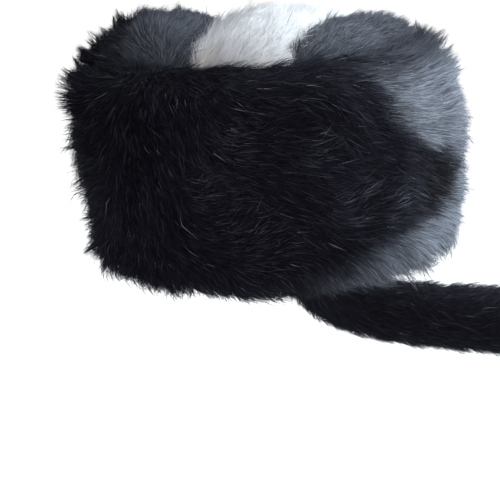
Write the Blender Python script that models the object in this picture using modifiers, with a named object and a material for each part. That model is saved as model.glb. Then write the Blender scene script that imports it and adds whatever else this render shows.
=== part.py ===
"""A round fur cap with a tail, in the shape it keeps on a head.

Thin hide makes the wall and the top. Deep fur stands out from both, laid in rows of pointed locks.
A pale strip of fur runs over the top from front to back, between two dark ones. The tail hangs from
a tongue of hide under the back of the wall, and turns to the wearer's left.

The front of the cap faces -Y, the top faces +Z, and +X is to the right as one looks at the front.
The origin is the middle of the head opening, level with the lower edge of the hide. Metres.
"""

import math
import random
from functools import partial
from typing import NamedTuple

import bmesh
import bpy
from mathutils import Vector

PART = "fur_cap"

# The head opening and the hide
HEAD_WIDTH = 0.164
HEAD_LENGTH = 0.200
WALL_HEIGHT = 0.090
WALL_LEAN = 0.004
CROWN_RISE = 0.008
HIDE = 0.0018
GAP = 0.0003

# The coat on the wall: its depth, and its reach above and below the hide
BAND_FUR = 0.031
BAND_TOP = 0.019
BAND_HEM = 0.007

# The coat on the top: its height over the wall, and how much more each dark strip swells
CROWN_FUR = 0.034
LEFT_SWELL = 0.005
RIGHT_SWELL = -0.002

# How far the pale strip reaches to each side of the cap's middle, at its front and back
STRIPE_LEFT_FRONT = 0.018
STRIPE_LEFT_BACK = 0.034
STRIPE_RIGHT_FRONT = 0.028
STRIPE_RIGHT_BACK = 0.050

# The tail: its length along its middle, and the place of its root under and behind the wall
TAIL_LENGTH = 0.330
TAIL_WIDTH = 0.044
TAIL_DROP = 0.001
TAIL_SET_BACK = 0.005
TAIL_SAMPLES = 160

# The tongue of hide that carries the tail
TONGUE_WIDTH = 0.026
TONGUE_LENGTH = 0.042

# The locks: how far they stand out of the coat, how far their points reach over the next row, as a
# share of a row, and how unevenly they do both
LOCK_RELIEF = 0.0028
LOCK_OVERHANG = 0.40
LOCK_UNEVEN = 0.45
LOCK_SLIP = 0.30
SEED = 7

# How many locks and how finely the hide is divided
BAND_LOCKS = 44
BAND_LOCK_ROWS = 6
STRIPE_LOCKS = 4
SIDE_LOCKS = 5
CROWN_LOCK_ROWS = 8
TAIL_LOCKS = 11
TAIL_LOCK_ROWS = 13
WALL_STEPS = 64
WALL_ROWS = 2
PANEL_STEPS = 5
PANEL_ROWS = 12
LINING_STEPS = 4

# The side strips run to a point at each end, and are cut short there by this share of their length
SIDE_END = 0.012


class Around(NamedTuple):
    """One value for each side of the cap, blended smoothly from side to side."""

    front: float
    right: float
    back: float
    left: float

    def at(self, angle):
        across, along = math.cos(angle), math.sin(angle)
        return (
            self.right * max(across, 0.0) ** 2
            + self.left * max(-across, 0.0) ** 2
            + self.back * max(along, 0.0) ** 2
            + self.front * max(-along, 0.0) ** 2
        )


class Seam(NamedTuple):
    """The dip in the coat along one seam: its depth, and its spread over each of the two strips."""

    depth: float
    over_pale: float
    over_dark: float


class BandRow(NamedTuple):
    """The band's coat at one height: its depth on each side, as shares of BAND_FUR."""

    height: float
    depth: Around


class LockRing(NamedTuple):
    """One ring of points across a row of locks.

    along is a share of the row's length and relief a share of LOCK_RELIEF. Both are for the edge of
    a lock, and point and ridge are what its middle adds to them.
    """

    along: float
    point: float
    relief: float
    ridge: float


class TailStop(NamedTuple):
    """A point on the tail's middle line, from its root, as rough shares of TAIL_LENGTH.

    The curve through these points is then brought to exactly that length.
    """

    right: float
    back: float
    down: float


class TailSize(NamedTuple):
    """The tail's section at a share of its length, as shares of TAIL_WIDTH."""

    station: float
    width: float
    thickness: float


# Heights run from the hem of the coat, 0, to its upper edge, 1
BAND_FORM = (
    #       height         front right back  left
    BandRow(0.00, Around(0.34, 0.62, 0.42, 0.26)),
    BandRow(0.10, Around(0.62, 0.88, 0.70, 0.46)),
    BandRow(0.24, Around(0.84, 0.99, 0.90, 0.60)),
    BandRow(0.40, Around(0.92, 0.87, 0.97, 0.74)),
    BandRow(0.56, Around(0.96, 1.00, 1.00, 0.88)),
    BandRow(0.72, Around(0.94, 0.99, 0.98, 0.96)),
    BandRow(0.88, Around(0.80, 0.76, 0.88, 1.02)),
    BandRow(1.00, Around(0.38, 0.46, 0.56, 0.94)),
)

# The seam between the two coats leans out as it rises, by these shares of BAND_FUR
SEAM_LEAN = Around(0.12, 0.10, 0.30, 0.80)

# The band's upper edge and hem on each side, as shares of BAND_TOP and BAND_HEM
BAND_TOP_FORM = Around(1.00, 1.15, 0.90, 0.55)
BAND_HEM_FORM = Around(1.00, 1.00, 1.00, 1.00)

# The dips along the pale strip's seams
LEFT_SEAM = Seam(depth=0.010, over_pale=0.009, over_dark=0.017)
RIGHT_SEAM = Seam(depth=0.003, over_pale=0.006, over_dark=0.008)

# How squarely the crown's coat turns down at its edge on each side, as the power of a rounded corner
CROWN_ROUND = Around(5.0, 6.0, 6.0, 11.0)

LOCK_RINGS = (
    #        along point relief ridge
    LockRing(0.04, 0.00, -1.20, 0.20),
    LockRing(0.50, 0.00, -0.50, 1.30),
    LockRing(0.92, LOCK_OVERHANG, -0.20, 1.20),
)

TAIL_ROUTE = (
    #        right  back  down
    TailStop(0.000, 0.000, 0.000),
    TailStop(0.000, 0.000, 0.085),
    TailStop(0.030, 0.014, 0.166),
    TailStop(0.105, 0.024, 0.222),
    TailStop(0.215, 0.020, 0.243),
    TailStop(0.400, 0.012, 0.249),
    TailStop(0.600, 0.012, 0.253),
    TailStop(0.800, 0.034, 0.259),
)

TAIL_FORM = (
    #        station width thickness
    TailSize(0.00, 0.90, 0.62),
    TailSize(0.10, 0.92, 0.74),
    TailSize(0.25, 1.00, 0.94),
    TailSize(0.50, 1.00, 0.96),
    TailSize(0.75, 0.98, 0.94),
    TailSize(0.88, 0.84, 0.82),
    TailSize(0.95, 0.60, 0.58),
    TailSize(1.00, 0.22, 0.22),
)

# Colour, roughness and metallic value of each material
MATERIALS = {
    "dark_fur": ((0.012, 0.012, 0.016), 0.55, 0.0),
    "pale_fur": ((0.78, 0.78, 0.75), 0.60, 0.0),
    "hide": ((0.62, 0.52, 0.40), 0.80, 0.0),
}


def blend(low, high, share):
    """The value or point that lies a share of the way from low to high."""
    return low + (high - low) * share


def from_table(rows, key, value, at):
    """A value read between the rows of a table that is sorted by its key."""
    for low, high in zip(rows, rows[1:]):
        if at <= key(high):
            share = max(0.0, (at - key(low)) / (key(high) - key(low)))
            return blend(value(low), value(high), share)
    return value(rows[-1])


def oval(angle, grow):
    """A point of the head oval, widened by grow on every side."""
    return Vector((
        (HEAD_WIDTH / 2 + grow) * math.cos(angle),
        (HEAD_LENGTH / 2 + grow) * math.sin(angle),
        0.0,
    ))


def hide_grow(height):
    """How far the hide's outer face lies outside the head oval at a height."""
    share = min(max(height / WALL_HEIGHT, 0.0), 1.0)
    return HIDE - WALL_LEAN * share


def lock_pattern(rows, columns, chance, closed):
    """Rings of (along, relief) pairs for a coat in rows of locks, each row shifted by half a lock.

    along runs from 0 to 1 down the coat. On an open coat the outer columns lie flat on its edges.
    """
    rings = []
    span = rows + LOCK_OVERHANG * (1 + LOCK_SLIP)
    points = columns if closed else columns + 1
    for row in range(rows):
        uneven = [chance.uniform(-LOCK_UNEVEN, LOCK_UNEVEN) for _ in range(points)]
        for ring in LOCK_RINGS:
            pairs = []
            for column in range(points):
                middle = (column + row) % 2 == 0
                edge = not closed and column in (0, columns)
                along = row + ring.along
                if middle and not edge:
                    along += ring.point * (1 + LOCK_SLIP * uneven[column] / LOCK_UNEVEN)
                relief = ring.relief + (ring.ridge if middle else 0.0) + uneven[column]
                pairs.append((min(along / span, 1.0), 0.0 if edge else relief * LOCK_RELIEF))
            rings.append(pairs)
    return rings


def loft(name, sections, closed, material):
    """One closed body through sections, each a closed loop of as many points."""
    shape = bmesh.new()
    loops = [[shape.verts.new(point) for point in section] for section in sections]
    pairs = list(zip(loops, loops[1:]))
    if closed:
        pairs.append((loops[-1], loops[0]))
    else:
        shape.faces.new(reversed(loops[0]))
        shape.faces.new(loops[-1])
    for here, there in pairs:
        for step in range(len(here)):
            after = (step + 1) % len(here)
            shape.faces.new((here[step], here[after], there[after], there[step]))
    return finish(name, shape, material)


def finish(name, shape, material):
    """A bmesh as a named object with one material, its faces triangles that point out."""
    bmesh.ops.triangulate(shape, faces=shape.faces[:], quad_method="SHORT_EDGE")
    bmesh.ops.recalc_face_normals(shape, faces=shape.faces[:])
    mesh = bpy.data.meshes.new(name)
    shape.to_mesh(mesh)
    shape.free()
    mesh.materials.append(bpy.data.materials[material])
    item = bpy.data.objects.new(name, mesh)
    bpy.data.collections[PART].objects.link(item)
    return item


def sheet(name, grid, closed, thickness, material="hide"):
    """A grid of points as hide of an even thickness, grown to the side that its faces look to."""
    shape = bmesh.new()
    rows = [[shape.verts.new(point) for point in row] for row in grid]
    for low, high in zip(rows, rows[1:]):
        for step in range(len(low) if closed else len(low) - 1):
            after = (step + 1) % len(low)
            shape.faces.new((low[step], low[after], high[after], high[step]))
    mesh = bpy.data.meshes.new(name)
    shape.to_mesh(mesh)
    shape.free()
    mesh.materials.append(bpy.data.materials[material])
    item = bpy.data.objects.new(name, mesh)
    bpy.data.collections[PART].objects.link(item)
    solid = item.modifiers.new("hide", "SOLIDIFY")
    solid.thickness = thickness
    solid.offset = 1.0
    solid.use_even_offset = True
    return item


def band_hide():
    """The wall of hide round the head, leaning in a little as it rises."""
    rows = []
    for row in range(WALL_ROWS + 1):
        height = WALL_HEIGHT * row / WALL_ROWS
        ring = []
        for step in range(WALL_STEPS):
            point = oval(math.tau * step / WALL_STEPS, hide_grow(height) - HIDE)
            point.z = height
            ring.append(point)
        rows.append(ring)
    return sheet("band_hide", rows, True, HIDE)


def seam_lean(angle):
    """How far the seam between the two coats leans out at its top."""
    return BAND_FUR * SEAM_LEAN.at(angle)


def band_top(angle):
    """The height of the band coat's upper edge."""
    return WALL_HEIGHT + BAND_TOP * BAND_TOP_FORM.at(angle)


def band_depth(angle, height):
    """The depth of the band's coat at an angle and at a share of its height."""
    depth = from_table(BAND_FORM, lambda row: row.height, lambda row: row.depth.at(angle), height)
    return BAND_FUR * depth


def band_fur():
    """The coat round the wall, its locks pointing down."""
    columns = 2 * BAND_LOCKS
    rings = lock_pattern(BAND_LOCK_ROWS, columns, random.Random(SEED), True)
    sections = []
    for column in range(columns):
        angle = math.tau * column / columns
        top = band_top(angle)
        hem = -BAND_HEM * BAND_HEM_FORM.at(angle)
        section = []
        for ring in rings:
            along, relief = ring[column]
            height = blend(top, hem, along)
            point = oval(angle, hide_grow(height) + band_depth(angle, 1.0 - along) + relief)
            point.z = height
            section.append(point)
        inner = (
            (hem, GAP),
            (0.0, GAP),
            (WALL_HEIGHT, GAP),
            (top, seam_lean(angle)),
        )
        for height, out in inner:
            point = oval(angle, hide_grow(height) + out)
            point.z = height
            section.append(point)
        sections.append(section)
    return loft("band_fur", sections, True, "dark_fur")


def stripe_reach(side, y):
    """How far the pale strip reaches to a side of the cap's middle, y behind it.

    side is -1 on the left and 1 on the right.
    """
    along = y / HEAD_LENGTH + 0.5
    if side < 0:
        return blend(STRIPE_LEFT_FRONT, STRIPE_LEFT_BACK, along)
    return blend(STRIPE_RIGHT_FRONT, STRIPE_RIGHT_BACK, along)


def crown_axes():
    """The half width and half length of the crown's hide, which ends with the wall's outer face."""
    grow = hide_grow(WALL_HEIGHT)
    return HEAD_WIDTH / 2 + grow, HEAD_LENGTH / 2 + grow


def stripe_plan(across, along):
    """A point of the pale strip in plan, from its left edge to its right and from front to back."""
    half_width, half_length = crown_axes()
    x, y = 0.0, blend(-half_length, half_length, along)
    for _ in range(4):
        x = blend(GAP / 2 - stripe_reach(-1, y), stripe_reach(1, y) - GAP / 2, across)
        y = (2 * along - 1) * half_length * math.sqrt(1 - (x / half_width) ** 2)
    return x, y


def side_plan(side, across, along):
    """A point of a side strip in plan, from the wall to the pale strip and from front to back.

    side is -1 on the left and 1 on the right.
    """
    half_width, half_length = crown_axes()
    ends = [stripe_plan((1 + side) / 2, end) for end in (0.0, 1.0)]
    along = blend(SIDE_END, 1 - SIDE_END, along)
    first, last = (math.atan2(y / half_length, side * x / half_width) for x, y in ends)
    angle = blend(first, last, along)
    seam_y = blend(ends[0][1], ends[1][1], along)
    seam_x = stripe_reach(side, seam_y) + GAP / 2
    x = blend(half_width * math.cos(angle), seam_x, across)
    y = blend(half_length * math.sin(angle), seam_y, across)
    return side * x, y


def crown_place(x, y):
    """The angle and the share of the way out to the wall of a point in plan."""
    half_width, half_length = crown_axes()
    angle = math.atan2(y / half_length, x / half_width)
    return angle, min(math.hypot(x / half_width, y / half_length), 1.0)


def crown_hide_height(x, y):
    """The height of the upper face of the crown's hide."""
    _, out = crown_place(x, y)
    return WALL_HEIGHT + GAP + HIDE + CROWN_RISE * (1 - out * out)


def seam_dip(seam, past):
    """How far the coat dips at a distance past a seam, which is less than 0 over the pale strip."""
    spread = seam.over_pale if past < 0 else seam.over_dark
    return seam.depth * math.exp(-((past / spread) ** 2))


def crown_coat_point(x, y, relief):
    """A point on the outside of the crown's coat over a point in plan."""
    half_width, _ = crown_axes()
    angle, out = crown_place(x, y)
    spread = (seam_lean(angle) - GAP) * out * out
    side = -1 if x < 0 else 1
    reach = stripe_reach(side, y)
    beside = min(max((abs(x) - reach) / (half_width - reach), 0.0), 1.0)
    edge = band_top(angle) - WALL_HEIGHT
    fall = out ** CROWN_ROUND.at(angle)
    swell = (LEFT_SWELL if x < 0 else RIGHT_SWELL) * math.sin(math.pi * beside)
    dip = seam_dip(LEFT_SEAM, -x - stripe_reach(-1, y)) + seam_dip(RIGHT_SEAM, x - stripe_reach(1, y))
    height = blend(CROWN_FUR + swell - dip, edge, fall) + relief
    return Vector((
        x + spread * math.cos(angle) * beside,
        y + spread * math.sin(angle),
        WALL_HEIGHT + height,
    ))


def crown_fur(name, plan, locks, chance, material):
    """One strip of the crown's coat, its locks pointing back."""
    columns = 2 * locks
    edge = [(0.0, 0.0)] * (columns + 1)
    rings = lock_pattern(CROWN_LOCK_ROWS, columns, chance, False)
    rings = [edge] + rings[:-1] + [[(1.0, 0.0)] * (columns + 1)]
    sections = []
    for ring in rings:
        section = []
        for column, (along, relief) in enumerate(ring):
            x, y = plan(column / columns, along)
            section.append(crown_coat_point(x, y, relief))
        level = ring[0][0]
        for step in range(LINING_STEPS, -1, -1):
            x, y = plan(step / LINING_STEPS, level)
            section.append(Vector((x, y, crown_hide_height(x, y) + GAP)))
        sections.append(section)
    return loft(name, sections, False, material)


def crown_hide(name, plan):
    """One strip of the crown's hide, domed over the wall."""
    rows = []
    for row in range(PANEL_ROWS + 1):
        line = []
        for step in range(PANEL_STEPS + 1):
            x, y = plan(step / PANEL_STEPS, row / PANEL_ROWS)
            line.append(Vector((x, y, crown_hide_height(x, y) - HIDE)))
        rows.append(sorted(line, key=lambda point: point.x))
    return sheet(name, rows, False, HIDE)


def tongue(name, clearance):
    """The tongue of hide under the back of the wall, grown on every side by a clearance."""
    reach = (TONGUE_WIDTH / 2 + clearance) / (HEAD_WIDTH / 2)
    low, high = -TONGUE_LENGTH - clearance, -GAP + clearance
    rows = []
    for height in (low, blend(low, high, 0.5), high):
        line = []
        for step in range(PANEL_STEPS + 1):
            angle = math.pi / 2 - blend(-reach, reach, step / PANEL_STEPS)
            point = oval(angle, -clearance)
            point.z = height
            line.append(point)
        rows.append(line[::-1])
    return sheet(name, rows, False, HIDE + 2 * clearance)


def route_point(at):
    """A point on the smooth curve through the tail's route, where at counts its stops."""
    last = len(TAIL_ROUTE) - 1
    first = min(int(at), last - 1)
    along = at - first
    picks = [TAIL_ROUTE[min(max(first + shift, 0), last)] for shift in (-1, 0, 1, 2)]
    before, start, end, after = (Vector((stop.right, stop.back, -stop.down)) for stop in picks)
    return (
        start * 2
        + (end - before) * along
        + (before * 2 - start * 5 + end * 4 - after) * along**2
        + (start * 3 - before - end * 3 + after) * along**3
    ) / 2


def tail_line():
    """Points evenly spaced along the tail's middle line, from its root under the coat's hem."""
    spans = len(TAIL_ROUTE) - 1
    route = [route_point(spans * step / TAIL_SAMPLES) for step in range(TAIL_SAMPLES + 1)]
    lengths = [0.0]
    for here, there in zip(route, route[1:]):
        lengths.append(lengths[-1] + (there - here).length)
    scale = TAIL_LENGTH / lengths[-1]
    hem = BAND_HEM * BAND_HEM_FORM.at(math.pi / 2)
    root = Vector((0.0, HEAD_LENGTH / 2 + HIDE / 2 + TAIL_SET_BACK, -hem - TAIL_DROP))
    line = []
    at = 0
    for step in range(TAIL_SAMPLES + 1):
        wanted = lengths[-1] * step / TAIL_SAMPLES
        while at < TAIL_SAMPLES - 1 and lengths[at + 1] < wanted:
            at += 1
        share = (wanted - lengths[at]) / (lengths[at + 1] - lengths[at])
        line.append(root + route[at].lerp(route[at + 1], share) * scale)
    return line


def tail_point(line, along, turn, relief):
    """A point on the outside of the tail, at a share of its length and at a turn round it."""
    at = min(along * TAIL_SAMPLES, TAIL_SAMPLES - 1.0)
    first = int(at)
    middle = line[first].lerp(line[first + 1], at - first + max(along * TAIL_SAMPLES - at, 0.0))
    ahead = (line[min(first + 2, TAIL_SAMPLES)] - line[max(first - 1, 0)]).normalized()
    behind = Vector((0.0, 1.0, 0.0))
    behind = (behind - ahead * behind.dot(ahead)).normalized()
    beside = ahead.cross(behind)
    width = from_table(TAIL_FORM, lambda row: row.station, lambda row: row.width, along)
    thickness = from_table(TAIL_FORM, lambda row: row.station, lambda row: row.thickness, along)
    out = beside * math.cos(turn) * (TAIL_WIDTH * width / 2 + relief)
    return middle + out + behind * math.sin(turn) * (TAIL_WIDTH * thickness / 2 + relief)


def tail_fur():
    """The tail, its locks pointing to its tip, with a slot for the tongue in its root."""
    columns = 2 * TAIL_LOCKS
    rings = lock_pattern(TAIL_LOCK_ROWS, columns, random.Random(SEED + 1), True)
    rings = [[(0.0, 0.0)] * columns] + rings[1:] + [[(1.0, -LOCK_RELIEF)] * columns]
    line = tail_line()
    turns = [math.tau * column / columns for column in range(columns)]
    sections = []
    for ring in rings:
        sections.append([
            tail_point(line, along, turn, relief) for (along, relief), turn in zip(ring, turns)
        ])
    tail = loft("tail_fur", sections, False, "dark_fur")
    cutter = tongue("tongue_slot", GAP)
    bpy.data.collections[PART].objects.unlink(cutter)
    bpy.data.collections["cutters"].objects.link(cutter)
    cutter.hide_render = True
    cutter.display_type = "WIRE"
    slot = tail.modifiers.new("slot", "BOOLEAN")
    slot.operation = "DIFFERENCE"
    slot.object = cutter
    return tail


def make_materials():
    """A Principled material for each kind of surface."""
    for name, (colour, roughness, metallic) in MATERIALS.items():
        material = bpy.data.materials.new(name)
        material.use_nodes = True
        shader = material.node_tree.nodes["Principled BSDF"]
        shader.inputs["Base Color"].default_value = (*colour, 1.0)
        shader.inputs["Roughness"].default_value = roughness
        shader.inputs["Metallic"].default_value = metallic
        material.diffuse_color = (*colour, 1.0)


def main():
    for item in list(bpy.data.objects):
        bpy.data.objects.remove(item)
    for name in (PART, "cutters"):
        group = bpy.data.collections.new(name)
        bpy.context.scene.collection.children.link(group)
    make_materials()

    left, right = partial(side_plan, -1), partial(side_plan, 1)
    band_hide()
    band_fur()
    crown_hide("crown_hide_left", left)
    crown_hide("crown_hide_stripe", stripe_plan)
    crown_hide("crown_hide_right", right)
    crown_fur("crown_fur_left", left, SIDE_LOCKS, random.Random(SEED + 2), "dark_fur")
    crown_fur("crown_fur_stripe", stripe_plan, STRIPE_LOCKS, random.Random(SEED + 3), "pale_fur")
    crown_fur("crown_fur_right", right, SIDE_LOCKS, random.Random(SEED + 4), "dark_fur")
    tongue("tail_tongue", 0.0)
    tail_fur()


main()
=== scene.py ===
"""The looks of the fur cap: its coat hair by hair, its hide and its seams, on a plain studio stage.

Metres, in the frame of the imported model: the front faces -Y, the top +Z, and +X is to the right.
"""

import math
from typing import NamedTuple

import bpy
import numpy as np
from mathutils import Matrix, Vector
from mathutils.bvhtree import BVHTree
from mathutils.kdtree import KDTree


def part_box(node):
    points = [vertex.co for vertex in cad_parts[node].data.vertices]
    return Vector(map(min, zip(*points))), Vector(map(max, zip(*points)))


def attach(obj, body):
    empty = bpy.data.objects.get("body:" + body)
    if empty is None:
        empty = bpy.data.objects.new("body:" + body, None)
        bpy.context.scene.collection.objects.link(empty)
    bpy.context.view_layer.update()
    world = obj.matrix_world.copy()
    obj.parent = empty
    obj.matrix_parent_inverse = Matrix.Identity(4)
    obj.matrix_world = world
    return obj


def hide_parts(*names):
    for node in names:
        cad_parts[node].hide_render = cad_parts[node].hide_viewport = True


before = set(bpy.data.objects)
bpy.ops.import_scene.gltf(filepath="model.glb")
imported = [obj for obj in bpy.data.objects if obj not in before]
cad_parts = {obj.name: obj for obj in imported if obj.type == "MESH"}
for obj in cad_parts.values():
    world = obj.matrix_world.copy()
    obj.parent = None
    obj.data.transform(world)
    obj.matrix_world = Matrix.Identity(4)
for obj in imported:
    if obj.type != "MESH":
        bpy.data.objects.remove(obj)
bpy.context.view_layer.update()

SEED = 11


class Spot(NamedTuple):
    """A place on the coat, and how far round it something changes."""

    x: float
    y: float
    z: float
    reach: float

    def near(self, points):
        """How near each point is, 1 at the place and 0 far from it."""
        off = np.linalg.norm(points - np.array([self.x, self.y, self.z]), axis=1)
        return bell(off, 0.0, self.reach)


class Wave(NamedTuple):
    """Smooth noise over a coat: its strength, the distance over which it changes, and its seed."""

    strength: float
    size: float
    seed: int

    def at(self, points):
        """The noise at each point, from about minus to plus its strength."""
        chance = np.random.default_rng(self.seed)
        total = np.zeros(len(points))
        for _ in range(WAVES_ADDED):
            way = chance.normal(size=3)
            way = way / np.linalg.norm(way) * chance.uniform(*WAVE_SIZES) * math.tau / self.size
            total += np.sin(points @ way + chance.uniform(0, math.tau))
        return self.strength * (total / math.sqrt(WAVES_ADDED))


class Dark(NamedTuple):
    """How low and how high the unlit black of the front reaches at one turn round the right side,
    between the painted sheen above and below it.
    """

    turn: float
    low: float
    high: float


class Coat(NamedTuple):
    """One stretch of fur: its node, its pieces, its hairs, how far its undercoat is sunk, its tone,
    which on the crown's black lobes is painted sheen.
    """

    node: str
    name: str
    finish: str
    slot: str
    pieces: int
    fine: int
    guards: int
    fine_length: float
    guard_length: float
    sink: float
    tone: float


class Lamp(NamedTuple):
    """A round lamp: where it stands, how wide and bright it is, and its colour."""

    name: str
    place: tuple
    size: float
    power: float
    colour: tuple


# The tones of the crown's two black lobes are painted sheen where the top light falls
COATS = (
    Coat(
        "band_fur", "band", "dark", "dark_fur", pieces=3, fine=84000, guards=30000,
        fine_length=0.0090, guard_length=0.0125, sink=0.0052, tone=0.00,
    ),
    Coat(
        "crown_fur_left", "crown_left", "dark", "dark_fur", pieces=1, fine=14000, guards=5000,
        fine_length=0.0072, guard_length=0.0100, sink=0.0044, tone=0.17,
    ),
    Coat(
        "crown_fur_stripe", "crown_stripe", "pale", "pale_fur", pieces=1, fine=16000, guards=6000,
        fine_length=0.0085, guard_length=0.0120, sink=0.0034, tone=0.00,
    ),
    Coat(
        "crown_fur_right", "crown_right", "dark", "dark_fur", pieces=1, fine=14000, guards=5000,
        fine_length=0.0072, guard_length=0.0100, sink=0.0044, tone=0.31,
    ),
    Coat(
        "tail_fur", "tail", "dark", "dark_fur", pieces=1, fine=22500, guards=9500,
        fine_length=0.0095, guard_length=0.0140, sink=0.0012, tone=0.02,
    ),
)

# The head oval and the wall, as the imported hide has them, and the height of the band's coat
_, HIDE_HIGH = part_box("band_hide")
HEAD_X = HIDE_HIGH.x
HEAD_Y = HIDE_HIGH.y
WALL_FOOT = -0.001
WALL_TOP = HIDE_HIGH.z
COAT_LOW, COAT_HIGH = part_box("band_fur")

# The camera: its turn, tilt and roll in degrees, its distance, and its focal length in photo pixels
PHOTO_SIDE = 500
CAMERA_TURN = 12.0
CAMERA_TILT = 16.0
CAMERA_ROLL = 2.0
CAMERA_DISTANCE = 0.60
CAMERA_FOCAL = 1014.0
CAMERA_CLIP = (0.01, 100.0)
SENSOR = 36.0

# The photo pixel where the frame's origin lies
ORIGIN_PIXEL = (270.0, 227.0)

# The floor: its height, reach, colour and roughness, and how brightly the camera sees it
FLOOR_HEIGHT = -0.36
FLOOR_REACH = 40.0
FLOOR_COLOUR = (0.55, 0.55, 0.55, 1.0)
FLOOR_ROUGHNESS = 0.9
FLOOR_GLOW = 0.97

# The sky lights from one side, and the camera sees it as plain white
SKY_WAY = (0.55, 0.15, 0.82)
SKY_SPREAD = (-0.3, 0.9)
SKY_LIGHT = (0.03, 0.34)
SKY_SEEN = 1.05
LAMPS = (
    Lamp("right_lamp", (1.15, 0.35, 0.50), 1.0, 27.0, (0.80, 0.90, 1.0)),
    Lamp("top_lamp", (0.15, 0.15, 1.30), 1.1, 12.0, (0.84, 0.92, 1.0)),
    Lamp("front_lamp", (-0.05, -1.45, 0.30), 1.5, 7.4, (0.88, 0.86, 1.0)),
)
LAMPS_AIM = (0.0, 0.0, 0.03)
WHITE = (1.0, 1.0, 1.0)

# The undercoat: voxel size, smoothing, distance from the wall, and its share of its hairs' tone
VOXEL = 0.0044
SMOOTH_FACTOR = 0.5
SMOOTH_ROUNDS = 5
WALL_CLEARANCE = 0.0005
UNDERCOAT_TONE = 0.7

# How far a normal faces out, down or up on the coat's outside, and below what height down counts
FACES_OUT = (0.0, 0.5)
FACES_DOWN = (0.3, 0.8)
FACES_UP = (0.5, 0.9)
CROWN_FACES_UP = (0.1, 0.5)
HEM_TOP = 0.01

# The undercoat's sink shrinks towards the hem, less on the right side
HEM_SHRINKS = (0.016, 0.0)
HEM_SHRINK = 0.9
RIGHT_HEM_KEEPS = 0.3

# The sides, as cosines of the turn from the right, and how much deeper the undercoat lies there, on
# the right side growing from one height to another
RIGHT_SIDE = (0.5, 0.95)
RIGHT_TRIMS = (
    (0.0024, 0.036, 0.012),
    (-0.0016, 0.016, 0.034),
    (0.0052, 0.066, 0.090),
)
LEFT_SIDE = (0.3, 0.9)
LEFT_SINK = 0.0010

# The outer rim of the crown's left lobe, where the undercoat lies deeper
LOBE_RIM = (-0.056, -0.080)
LOBE_RIM_SINK = 0.0045

# The fold across the right side: its turn, height, sway, width, depth, and its start off the wall
CREASE_ANGLE = math.radians(-28)
CREASE_SPREAD = math.radians(30)
CREASE_HEIGHT = 0.043
CREASE_SWAY = 0.004
CREASE_SWAYS = 5
CREASE_WIDTH = 0.009
CREASE_DEPTH = 0.0012
CREASE_START = 0.008

# The corner where the broad front turns to the right side, and how sharply the hairs there turn
CORNER_FACING = math.radians(-38)
CORNER_SHARPNESS = 0.21

# Painted sheen: the right side is painted grey where the light falls, but the black front runs into it
# as a wedge of painted shade along the fold
WEDGE = (
    Dark(-80, 0.000, 0.130),
    Dark(-64, 0.010, 0.116),
    Dark(-52, 0.014, 0.106),
    Dark(-46, 0.015, 0.090),
    Dark(-41, 0.017, 0.072),
    Dark(-34, 0.021, 0.063),
    Dark(-22, 0.029, 0.055),
    Dark(-10, 0.034, 0.048),
    Dark(0, 0.036, 0.044),
)
WEDGE_FADES = (math.radians(-32), math.radians(-8))
WEDGE_POINT = math.radians(15)
SHEEN_STARTS = (math.radians(-72), math.radians(-52))
SHEEN_ENDS = (math.radians(10), math.radians(82))
PAINTED_SHEEN_STRENGTH = 0.84
# The colour of the painted sheen, and of the few lighter hairs
SHEEN_AND_LIGHT_HAIR = (0.30, 0.325, 0.365)

# How softly the wedge's edges end, how ragged they are, and how much more its point strays
UPPER_EDGE = (-0.003, 0.005)
LOWER_EDGE = (-0.004, 0.010)
RAGGED = (Wave(0.0025, 0.009, SEED + 6), Wave(0.0025, 0.024, SEED + 8))
POINT_STRAYS = 8

# Under the wedge the painted sheen is stronger, but fainter again in front of these turns
LOWER_SHEEN = 1.6
LOWER_SHEEN_STARTS = (-0.95, -0.55)
LOWER_SHEEN_LEAST = 0.3

# The painted sheen is weaker near the top, and a little cloudy
TOP_DARKENS = (0.078, 0.102)
TOP_DARKNESS = 0.86
CLOUD_LEVEL = 0.95
CLOUDS = Wave(0.16, 0.035, SEED + 7)

# Where the front gives way to the smooth right side, and how much calmer that is
SMOOTH_SIDE = (math.radians(-62), math.radians(-38))
SMOOTH_CALM = 0.6

# Whorls in the hair of the front, and the ruffled corners of the band
WHORLS = (
    Spot(0.006, -0.128, 0.074, 0.010),
    Spot(-0.009, -0.128, 0.053, 0.009),
    Spot(0.012, -0.129, 0.033, 0.013),
    Spot(0.028, -0.126, 0.015, 0.012),
    Spot(0.046, -0.116, 0.066, 0.009),
    Spot(0.060, -0.105, 0.040, 0.012),
    Spot(0.080, -0.088, 0.036, 0.011),
)
RUFFLES = (
    Spot(-0.072, -0.062, 0.114, 0.020),
    Spot(-0.090, -0.060, 0.100, 0.015),
    Spot(-0.085, -0.020, 0.112, 0.022),
    Spot(-0.108, -0.045, 0.090, 0.008),
    Spot(-0.109, -0.025, 0.052, 0.011),
    Spot(-0.104, -0.025, 0.012, 0.012),
    Spot(-0.084, -0.068, 0.004, 0.014),
    Spot(0.095, 0.012, 0.106, 0.022),
    Spot(0.108, 0.045, 0.085, 0.018),
)

# The notch in the left edge, under the ruffled corner
NOTCH = Spot(-0.106, -0.048, 0.075, 0.011)
NOTCH_DEPTH = 0.0055

# Where the lie of the band's hair parts and meets again, and over how much of a turn it changes
PARTING = math.radians(-128)
MEETING = math.radians(90)
LIE_CHANGES = 0.35

# From where to where a point belongs to the front, as the sine of its turn towards the front
FRONT = (0.35, 0.85)

# How far the band's hair leans down, up at the sides' top, down at the hem, out, and out and up
# where it is ruffled, with the shares of the band's height for it
DOWN_LEAN = 0.38
UP_LEAN = 0.95
UP_HEIGHTS = (0.50, 1.0)
HEM_LEAN = 1.60
HEM_HEIGHTS = (0.26, 0.0)
OUT_LEAN = 0.45
RUFFLED_LEAN = 0.8
RUFFLED_HEIGHTS = (0.5, 0.9)

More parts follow.
